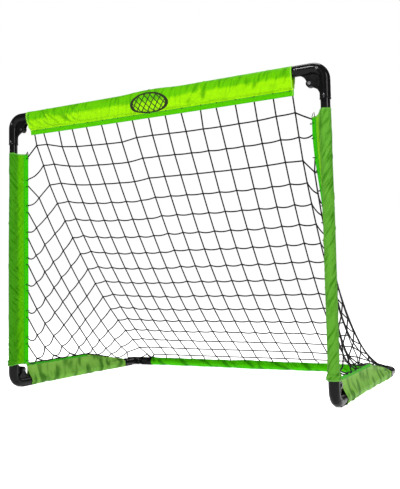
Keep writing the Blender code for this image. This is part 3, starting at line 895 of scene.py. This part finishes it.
def curve_through(points, parts):
    """Catmull-Rom curve through points, with parts pieces between each pair."""
    padded = np.vstack([2 * points[0] - points[1], points, 2 * points[-1] - points[-2]])
    line = []
    for p0, p1, p2, p3 in zip(padded, padded[1:], padded[2:], padded[3:]):
        for t in np.arange(parts) / parts:
            line.append(
                0.5 * (2 * p1 + (p2 - p0) * t + (2 * p0 - 5 * p1 + 4 * p2 - p3) * t * t
                       + (3 * p1 - p0 - 3 * p2 + p3) * t ** 3)
            )
    return np.array(line + [points[-1]])


# Fittings

CORNERS = {
    "top_left": ((-HALF, 0, HEIGHT), -Z, X, "post_left", "crossbar_left", ""),
    "top_right": ((HALF, 0, HEIGHT), -X, -Z, "crossbar_right", "post_right", ""),
    "base_left": ((-HALF, 0, 0), Z, Y, "post_left", "side_left", "B"),
    "base_right": ((HALF, 0, 0), Y, Z, "side_right", "post_right", "A"),
    "rear_left": ((-HALF, DEPTH, 0), -Y, X, "side_left", "rear_left", "AB"),
    "rear_right": ((HALF, DEPTH, 0), -X, -Y, "rear_right", "side_right", "AB"),
}
ELBOW_RADIUS = 0.0126
BEND_RADIUS = 0.029
SOCKET_RADIUS = TUBE_RADIUS + 0.0003
BOSS_RADIUS = 0.0085
TONGUE_HALF = 0.0030
FORK_HALF = 0.0073
SLOT_HALF = TONGUE_HALF + 0.0004
PANEL_STEP = 0.0010
SMALL_BEVEL = 0.0004
BOSS_BEVEL = 0.0007
LEAN = 0.0003
FOOT_HALF_WIDTH = 0.007
FOOT_START = 0.030
TUBE_BORE = TUBE_RADIUS - 0.0012
TUBE_BEVEL = 0.0006


def local_frame(origin, along, across, pin_way):
    matrix = Matrix((along, across, pin_way)).transposed().to_4x4()
    matrix.translation = origin
    return matrix


def add_rings(bm, rings, loop=False):
    """Skin a run of rings into bm, capped at both ends or closed into a loop."""
    made = [[bm.verts.new(point) for point in ring] for ring in rings]
    for low, high in zip(made, made[1:] + made[: int(loop)]):
        for k in range(len(low)):
            m = (k + 1) % len(low)
            bm.faces.new((low[k], low[m], high[m], high[k]))
    if not loop:
        bm.faces.new(made[0][::-1])
        bm.faces.new(made[-1])


def add_plate(bm, outline, low, high, bevel=SMALL_BEVEL, matrix=Matrix()):
    """A plate with rounded edges, from an outline in the plane of the two arms."""
    plate = bmesh.new()
    add_rings(plate, [[Vector((x, y, z)) for x, y in outline] for z in (low, high)])
    bmesh.ops.recalc_face_normals(plate, faces=plate.faces)
    sharp = [edge for edge in plate.edges if edge.calc_face_angle(0) > radians(30)]
    bmesh.ops.bevel(
        plate, geom=sharp, offset=bevel, segments=2, affect="EDGES", clamp_overlap=True
    )
    bmesh.ops.transform(plate, matrix=matrix, verts=plate.verts)
    spare = bpy.data.meshes.new("plate")
    plate.to_mesh(spare)
    plate.free()
    bm.from_mesh(spare)
    bpy.data.meshes.remove(spare)


def add_solid(bm, name, material, body, node):
    """Turn bm into the object that stands for a CAD node."""
    bmesh.ops.recalc_face_normals(bm, faces=bm.faces)
    mesh = bpy.data.meshes.new(name)
    bm.to_mesh(mesh)
    bm.free()
    mesh.materials.append(material)
    mesh.shade_smooth()
    mesh.set_sharp_from_angle(angle=radians(35))
    thing = add_object(name, mesh)
    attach(thing, body)
    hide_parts(node)


def web_curve(pin):
    """The hollow edge of a web, from the arm to the boss."""
    start = Vector((pin.x + 0.026, 0.011))
    turn = radians(-25)
    end = pin.xy + Vector((cos(turn), sin(turn))) * (BOSS_RADIUS - 0.0006)
    points = []
    for t in np.linspace(0, 1, 11):
        dip = 4 * t * (1 - t) * 0.0035 / 2 ** 0.5
        points.append(tuple(start.lerp(end, t) - Vector((dip, dip))))
    return points


def elbow_rings(arm):
    """Rings of an arm and its half of the bend, from inside the socket to the seam."""
    stations = [
        (arm - 0.010, SOCKET_RADIUS), (arm, SOCKET_RADIUS), (arm, ELBOW_RADIUS - 0.0003),
        (arm - 0.0006, ELBOW_RADIUS + 0.0004), (arm - 0.0028, ELBOW_RADIUS + 0.0004),
        (arm - 0.0034, ELBOW_RADIUS),
    ]
    stations += [(u, ELBOW_RADIUS) for u in np.linspace(arm - 0.005, BEND_RADIUS + 0.002, 5)]
    rings = [circle(X * u, Y, Z, radius) for u, radius in stations]
    last = pi / 4 - radians(0.5)
    turns = [(last * step / 8, ELBOW_RADIUS) for step in range(8)]
    turns += [(last - radians(0.9), ELBOW_RADIUS), (last, ELBOW_RADIUS - 0.0005)]
    for turn, radius in turns:
        centre = Vector((1 - sin(turn), 1 - cos(turn), 0)) * BEND_RADIUS
        rings.append(circle(centre, Vector((sin(turn), cos(turn), 0)), Z, radius))
    return rings


def elbow(corner, half):
    """Detailed half of a corner fitting in the place of its CAD node: tongue A or fork B."""
    at, u_axis, v_axis, body_a, body_b, feet = CORNERS[corner]
    tongue = half == "A"
    kind = "tongue" if tongue else "fork"
    node = f"{corner}_elbow_{kind}"
    axes = (u_axis, v_axis) if tongue else (v_axis, u_axis)
    matrix = local_frame(place(at), *axes, u_axis.cross(v_axis))
    arm = max((spot - place(at)) @ axes[0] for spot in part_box(node))
    pin = matrix.inverted() @ middle(f"{corner}_hinge_pin")
    pin.z = 0
    bm = bmesh.new()
    add_rings(bm, elbow_rings(arm))
    curve = web_curve(pin)
    root = [(0.011 + LEAN, 0.011 - LEAN), (0.011, 0.005), (pin.x + 0.021, 0.008)]
    panel = root + curve + [(pin.x + LEAN, pin.y - LEAN)]
    rim = curve + [(x - 0.0014, y - 0.0010) for x, y in reversed(curve)]
    rib = [(pin.x + 0.0135, 0.010), (pin.x + 0.0115, 0.010)]
    rib += [(pin.x + 0.0020, pin.y - 0.0060), (pin.x + 0.0045, pin.y - 0.0060)]
    spans = [(-TONGUE_HALF, TONGUE_HALF)] if tongue else [
        (SLOT_HALF, FORK_HALF), (-FORK_HALF, -SLOT_HALF)]
    if not tongue:
        stem = root + curve[:6] + [(pin.x - 0.010, pin.y - 0.010 - LEAN)]
        add_plate(bm, stem, -SLOT_HALF - 0.0002, SLOT_HALF + 0.0002, 0.0002)
    for low, high in spans:
        low_step = PANEL_STEP if low != SLOT_HALF else 0
        high_step = PANEL_STEP if high != -SLOT_HALF else 0
        add_plate(bm, panel, low + low_step, high - high_step)
        add_plate(bm, rim, low, high)
        add_plate(bm, rib, low * 0.97, high * 0.97)
        add_rings(bm, [
            circle(pin + Z * height, X, Y, BOSS_RADIUS - inset) for inset, height in (
                (BOSS_BEVEL, high), (0, high - BOSS_BEVEL), (0, low + BOSS_BEVEL),
                (BOSS_BEVEL, low),
            )
        ])
    if half in feet:
        down = (matrix.to_3x3().inverted() @ -Z).normalized()
        first, last, wide = FOOT_START, arm - 0.002, FOOT_HALF_WIDTH
        outline = [(first, -wide), (last, -wide), (last, wide), (first, wide)]
        turn = local_frame(Vector((0, 0, 0)), X, down.cross(X), down)
        add_plate(bm, outline, ELBOW_RADIUS - 0.006, BASE, 0.0006, turn)
    bmesh.ops.transform(bm, matrix=matrix, verts=bm.verts)
    body = body_a if tongue else body_b
    add_solid(bm, f"{corner}_{kind}_half", PLASTIC, body, node)


# Materials in use

MARK = (0.0335, 0.056, 0.0235)
PLASTIC, PAINT, STEEL, TWINE = dark_plastic(), tube_paint(), dark_steel(), net_cord()
THREAD = thread("sewing_thread", (0.008, 0.09, 0.002))
EDGE_THREAD = thread("edge_binding", (0.30, 0.62, 0.03))
POST_EDGE = thread("post_edge_binding", (0.09, 0.34, 0.02))
# All the sleeves are of one lime nylon and one hem tape. Each piece gets its own copy, its colours
# lighter or darker to paint the light that falls there: the crossbar's cloth and tape are painted
# brightest, the left post's cloth darkest.
CROSSBAR_CLOTH = fabric(
    "crossbar_nylon", (0.215, 0.510, 0.0015), (0.035, 0.20, 0.001), (0.075, 0.330, 0.001), MARK,
    drag=radians(68), depth=0.9, size=(0.040, 0.0080),
)
POST_CLOTH = {
    -1: fabric("left_post_nylon", (0.062, 0.30, 0.001), (0.010, 0.11, 0.001),
               (0.028, 0.170, 0.005), drag=radians(38), depth=0.95),
    1: fabric("right_post_nylon", (0.140, 0.420, 0.006), (0.014, 0.11, 0.002),
              (0.070, 0.235, 0.022), drag=radians(-30), depth=0.80),
}
SIDE_CLOTH = fabric(
    "side_nylon", (0.175, 0.385, 0.056), (0.030, 0.13, 0.008), (0.145, 0.355, 0.046),
    drag=radians(72), depth=0.95, size=(0.060, 0.026), loose=0.9, dense=0.03,
)
REAR_CLOTH = fabric(
    "rear_nylon", (0.045, 0.42, 0.001), (0.008, 0.14, 0.001), (0.04, 0.38, 0.001),
    drag=radians(-35), depth=0.8,
)
HEM_TAPE = hem_tape("hem_tape", (0.022, 0.37, 0.001), (0.013, 0.26, 0.001))
CROSSBAR_HEM_TAPE = hem_tape(
    "crossbar_hem_tape", (0.062, 0.37, 0.0005), (0.030, 0.26, 0.0005))


def frame_tube(level, hand):
    """Round tube in the place of the CAD one, whose sides are flat."""
    node = f"{level}_tube_{hand}"
    low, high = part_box(node)
    long = max(range(3), key=lambda axis: high[axis] - low[axis])
    ends = [middle(node), middle(node)]
    ends[0][long], ends[1][long] = low[long], high[long]
    along = (ends[1] - ends[0]).normalized()
    across = along.cross(X if long != 0 else Y).normalized()
    rings = []
    for end, inset, radius in (
        (0, 0, TUBE_RADIUS - TUBE_BEVEL), (0, TUBE_BEVEL, TUBE_RADIUS),
        (1, -TUBE_BEVEL, TUBE_RADIUS), (1, 0, TUBE_RADIUS - TUBE_BEVEL),
        (1, 0, TUBE_BORE), (0, 0, TUBE_BORE),
    ):
        rings.append(circle(ends[end] + along * inset, across, along.cross(across), radius))
    bm = bmesh.new()
    add_rings(bm, rings, loop=True)
    add_solid(bm, f"{node}_round", PAINT, f"{level}_{hand}", node)


def finish_cad_nodes():
    """Give the CAD nodes that stay their materials."""
    for thing in bpy.data.objects:
        node = thing.get("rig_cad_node")
        if node and thing.type == "MESH":
            metal = node.endswith(("rivet", "pin", "button"))
            material = PAINT if "tube" in node else STEEL if metal else PLASTIC
            thing.data.materials.clear()
            thing.data.materials.append(material)


# Sleeves

TUBE_CLEARANCE = TUBE_RADIUS + 0.0009
FITTING_CLEARANCE = ELBOW_RADIUS + 0.0010
STEP = FITTING_CLEARANCE - TUBE_CLEARANCE
MID_FITTING = 0.048


def dress(cloth, sewn):
    """Carry a sleeve and what is sewn to it, on one bar or across the middle hinge,
    and hide the CAD sleeves it stands for."""
    bar, _, hand = cloth.name.replace("_cloth", "").partition("_")
    for thing in (cloth, *sewn):
        if hand:
            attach(thing, f"{bar}_{hand}")
        else:
            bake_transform(thing)
    hands = [hand] if hand else ["left", "right"]
    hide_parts(*(f"{bar}_sleeve_{hand}" for hand in hands))


def crossbar_sleeve():
    start, end = -0.398, 0.380

    def clear(w):
        x = start + w
        fitting = max(1 - smooth((abs(x) - MID_FITTING) / 0.008), smooth((-0.374 - x) / 0.006))
        knuckle = 1 - smooth((abs(x) - 0.010) / 0.090)
        return FITTING_CLEARANCE - 0.0004 * (1 - fitting) + 0.0030 * knuckle

    folds = scatter(12, 24, (0.50, 0.79), (0.030, 0.072), radians(56), 0.0024, 1.3)
    folds += scatter(13, 17, (0.0, 0.20), (0.015, 0.060), radians(128), 0.0022, 1.3)
    folds += scatter(14, 16, (0.15, 0.60), (0.025, 0.085), radians(50), 0.0014, 1.3)
    folds += scatter(15, 20, (0.0, 0.78), (0.090, 0.140), radians(110), 0.0020)
    sleeve = Sleeve(
        "crossbar_cloth", (start, 0, HEIGHT), (end, 0, HEIGHT), lambda t: -Z,
        lambda t: 0.0528 + 0.0020 * t + 0.0012 * sin(pi * t), clear, folds, 11, (0.010, 0.0),
    )
    cloth = sleeve.cloth(CROSSBAR_CLOTH, -start / (end - start))
    sewn = [
        sleeve.tape("crossbar_hem", CROSSBAR_HEM_TAPE, 0.0128),
        sleeve.stitches("crossbar_stitches", 0.0114),
        hem_knots("crossbar_net_ties", sleeve),
        sleeve.edges("crossbar_edges", EDGE_THREAD),
    ]
    dress(cloth, sewn)


def hem_knots(name, sleeve):
    """Where each cord of the back panel comes through the crossbar's hem: a knot on the seam."""
    paths = []
    for top, _ in net.ends:
        t = (net.P[top][0] - sleeve.start[0]) / sleeve.length
        hem, way, side = sleeve.at(min(max(t, 0.012), 0.988))
        for face in (1, -1):
            out = side * face * 0.0012
            paths.append([place(hem - way * (0.0110 + k * 0.0011) + out) for k in (-1, 0, 1, 2)])
    return tubes(name, paths, [[0.0003, 0.0011, 0.0012, 0.0003]] * len(paths), 6, TWINE)


def post_sleeve(side):
    tag = HAND[side]
    low, high = 0.048, 0.643 if side < 0 else 0.645

    def clear(w):
        loose = 0.0014 * smooth((0.52 - w) / 0.2)
        return TUBE_CLEARANCE - 0.0003 + loose + STEP * (1 - smooth((w - 0.014) / 0.006))

    sleeve = Sleeve(
        f"post_cloth_{tag}", (side * HALF, 0, low), (side * HALF, 0, high),
        lambda t: flap_way(side, low + (high - low) * t), lambda t: POST_REACH + 0.001, clear,
        scatter(24 + side, 80, (0.0, high - low), (0.015, 0.095), radians(-32 * side), 0.0013,
                1.2),
        21 + side, (0.004, -0.004 if side < 0 else -0.010), stepped=True,
    )
    cloth = sleeve.cloth(POST_CLOTH[side])
    sewn = [
        sleeve.tape(f"post_hem_{tag}", HEM_TAPE, 0.0130, 0.004, 0.996),
        sleeve.stitches(f"post_stitches_{tag}", 0.0116),
        sleeve.edges(f"post_edges_{tag}", POST_EDGE),
        cord_loops(f"post_net_ties_{tag}", sleeve, side),
    ]
    dress(cloth, sewn)


def cord_loops(name, sleeve, side):
    """Small loops of cord through a post's hem, and the loose ends at the top of the flap."""
    rng = np.random.default_rng(40 + side)
    paths = []
    tied = {
        round(z, 3) for (x, y, z), fixed in zip(net.nodes, net.fixed)
        if fixed and y < 0.1 and x * side > 0.39 and 0.056 < z < 0.64
    }
    for height in sorted(tied):
        hem, way, face = sleeve.at((height - sleeve.start[2]) / sleeve.length)
        face = -face * side
        size = rng.uniform(0.0028, 0.0052)
        lean = rng.uniform(-0.4, 0.4)
        start = hem - way * 0.0055
        paths.append([
            place(start + way * (1 - cos(a)) * size * 0.9 + face * (0.0016 + sin(a) * size)
                  + np.array([0, 0, lean * size * sin(a / 2)]))
            for a in np.linspace(-0.5, 2 * pi - 1.2, 12)
        ])
    hem, way, _ = sleeve.at(0.985)
    for number in range(3):
        reach = rng.uniform(0.012, 0.019)
        bend = rng.uniform(-1, 1, 3) * 0.004
        paths.append([
            place(hem - way * 0.003 * number + np.array([0, 0, reach * t])
                  + bend * t * t * 1.5 + way * 0.006 * sin(pi * t) * (number - 1))
            for t in np.linspace(0, 1, 7)
        ])
    return tubes(name, paths, 0.0008, 6, TWINE)


def side_sleeve(side):
    tag = HAND[side]
    low, high = 0.064, 0.540
    long, shift = high - low, 0.011
    folds = scatter(34 + side, 15, (0.0, long), (0.014, 0.050), radians(80), 0.0050, 3.2)
    folds += scatter(37 + side, 20, (0.0, long), (0.055, 0.110), radians(100), 0.0016, 2.4)
    sleeve = Sleeve(
        f"side_cloth_{tag}", (side * HALF, low, 0), (side * HALF, high, 0), lambda t: Z,
        lambda t: side_reach(low + long * t) + 0.001,
        lambda w: TUBE_CLEARANCE + STEP * (1 - smooth((low + w - 0.074) / 0.006)),
        folds, 31 + side, (-shift, 0.0),
    )
    cloth = sleeve.cloth(SIDE_CLOTH)
    last = (SIDE_HEM_ENDS[1] + shift - low) / long
    sewn = [
        sleeve.tape(f"side_hem_{tag}", HEM_TAPE, 0.0080, last=last),
        sleeve.stitches(f"side_stitches_{tag}", 0.0066, last),
    ]
    dress(cloth, sewn)


def rear_sleeve():
    """Tight sleeve round the rear bar, gathered in small slanting folds."""
    rng = np.random.default_rng(51)
    half = 0.379
    columns, rows = 191, 28
    waves = [
        (rng.uniform(0.018, 0.045), rng.normal(0.75, 0.2), rng.uniform(0, 2 * pi)) for _ in range(7)
    ]
    along = np.linspace(-half, half, columns)
    turns = 2 * pi * np.arange(rows + 1) / rows
    x, turn = np.meshgrid(along, turns[:-1], indexing="ij")
    arc = TUBE_CLEARANCE * turn
    fold = sum(
        np.sin((x * cos(tilt) + arc * sin(tilt)) * 2 * pi / size + start)
        for size, tilt, start in waves
    )
    fitting = 1 - smooth((abs(x) - MID_FITTING) / 0.008)
    fitting = np.maximum(fitting, smooth((abs(x) - 0.372) / 0.004))
    knuckle = 0.0036 * (1 - smooth((abs(x) - 0.004) / 0.03))
    radius = TUBE_CLEARANCE + STEP * fitting + 0.0011 * smooth((fold + 2.2) / 4)
    radius += knuckle * np.maximum(0, np.sin(turn)) ** 2
    z = np.maximum(radius * np.cos(turn), CLOTH_THICKNESS - BASE)
    # The valley layer paints shade into the hollows of the folds.
    cloth = cloth_mesh(
        "rear_cloth", np.stack([x, DEPTH + radius * np.sin(turn), z], -1), along,
        TUBE_CLEARANCE * turns, REAR_CLOTH, valley=smooth((-fold - 0.6) / 1.5),
    )
    dress(cloth, [])


def net_piece(part, name):
    """Cords and knots of a part of the net, on the bodies that carry it."""
    cords, knots = net.paths(part), net.knots(part)
    sizes = [[CORD_RADIUS] * len(path) for path in cords]
    sizes += [[KNOT_RADIUS * share for share in (0.5, 0.95, 1.0, 0.95, 0.5)]] * len(knots)
    thing = tubes(name, cords + knots, sizes, 6, TWINE)
    if part in ("left", "right"):
        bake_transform(thing)
        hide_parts(f"side_net_{part}")
    else:
        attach(thing, f"net_{part}")
        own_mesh(thing)
        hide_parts(f"back_net_{part}")


# Studio

LENS, SENSOR = 49.5, 36
CAMERA_AT = Vector((1.173, -1.941, 0.340))
CAMERA_TURNS = ((27.07, "Z"), (93.76, "X"), (-1.02, "Z"))
AIM = Vector((0, 0, 0.4))
LIGHTS = {
    "key": ((-0.5, -2.7, 2.3), (0.45, 0.35), 82),
    "fill": ((2.4, -1.6, 1.6), (0.8, 1.4), 42),
    "top": ((0.2, 0.3, 2.6), (1.0, 0.7), 30),
    "rim": ((0.6, 2.4, 1.6), (1.6, 1.2), 20),
}
FLOOR_HALF = 12
FLOOR_GLOW = 0.95
WORLD_LIGHT = 0.12
WORLD_SEEN = 1.0


def add_camera():
    data = bpy.data.cameras.new("camera")
    data.sensor_width = SENSOR
    data.lens = LENS
    camera = add_object("camera", data)
    matrix = Matrix.Translation(CAMERA_AT * HEIGHT + Vector((0, FRONT, BASE)))
    for turn, axis in CAMERA_TURNS:
        matrix = matrix @ Matrix.Rotation(radians(turn), 4, axis)
    camera.matrix_world = matrix
    bpy.context.scene.camera = camera


def add_light(name, spot, size, power):
    data = bpy.data.lights.new(name, "AREA")
    data.shape = "RECTANGLE"
    data.size, data.size_y = size
    data.energy = power
    light = add_object(name, data)
    light.location = spot
    light.rotation_euler = (AIM - Vector(spot)).to_track_quat("-Z", "Y").to_euler()


def add_studio():
    far = FLOOR_HALF
    spots = [(-far, -far, 0), (far, -far, 0), (far, far, 0), (-far, far, 0)]
    look = Look("studio_floor", emission_strength=FLOOR_GLOW, emission_color=(1.0, 1.0, 1.0))
    speckle = look.noise(look.coords(), 6.0)
    look.set("Base Color", look.mix(speckle, (0.90, 0.90, 0.90), (0.93, 0.93, 0.93)))
    look.set("Roughness", look.span(speckle, 0.3, 0.7, 0.8, 0.95))
    mesh_object("floor", spots, [(0, 1, 2, 3)], material=look.material)
    world = bpy.data.worlds.new("studio")
    world.use_nodes = True
    bpy.context.scene.world = world
    tree = world.node_tree
    back = tree.nodes["Background"]
    back.inputs["Color"].default_value = (1, 1, 1, 1)
    path = tree.nodes.new("ShaderNodeLightPath")
    strength = tree.nodes.new("ShaderNodeMapRange")
    tree.links.new(path.outputs["Is Camera Ray"], strength.inputs[0])
    strength.inputs[3].default_value = WORLD_LIGHT
    strength.inputs[4].default_value = WORLD_SEEN
    tree.links.new(strength.outputs[0], back.inputs["Strength"])
    for name, light in LIGHTS.items():
        add_light(name, *light)
    bpy.context.scene.view_settings.view_transform = "Standard"


finish_cad_nodes()
for level_name in ("crossbar", "post", "side", "rear"):
    for hand_name in ("left", "right"):
        frame_tube(level_name, hand_name)
for corner_name in CORNERS:
    for half_name in "AB":
        elbow(corner_name, half_name)
net = Net()
crossbar_sleeve()
rear_sleeve()
for hand_side in (-1, 1):
    post_sleeve(hand_side)
    side_sleeve(hand_side)
net_piece("upper", "net_back_upper")
net_piece("lower", "net_back_lower")
net_piece("left", "net_side_left")
net_piece("right", "net_side_right")
add_camera()
add_studio()
